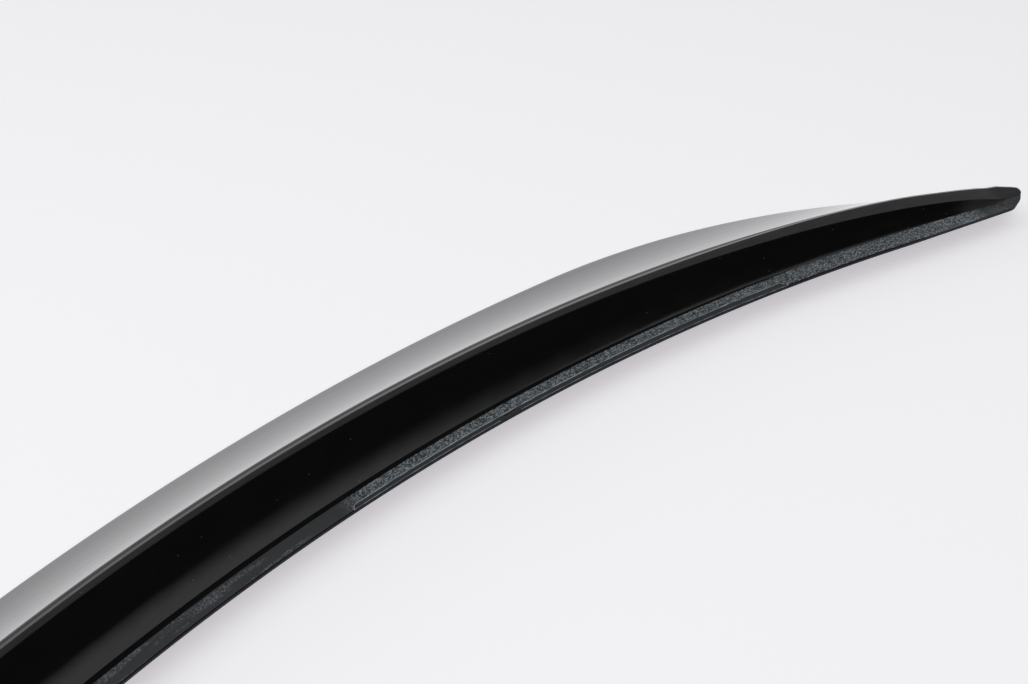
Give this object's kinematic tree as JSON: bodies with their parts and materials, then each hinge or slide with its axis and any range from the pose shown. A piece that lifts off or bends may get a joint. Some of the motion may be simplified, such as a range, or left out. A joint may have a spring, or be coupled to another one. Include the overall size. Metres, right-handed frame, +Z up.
{
  "type": "front bumper lip",
  "caption": "Bowed black plastic lip for a car's front bumper: a hollow shell with a glossy sloping face, a raised rim, a seat behind it and a flat bond strip, tapering to rounded tips.",
  "frame": {"origin": "on the top face of the bond strip, at the middle of the lip's length", "axes": "+X along the lip, +Z up, and the car's front towards -Y"},
  "size_m": [1.6674, 0.3434, 0.0495],
  "materials": {
    "black_plastic": "gloss black with a matte rim and a grained bond strip"
  },
  "bodies": {
    "root": {"bumper_lip": "black_plastic"}
  },
  "joints": []
}
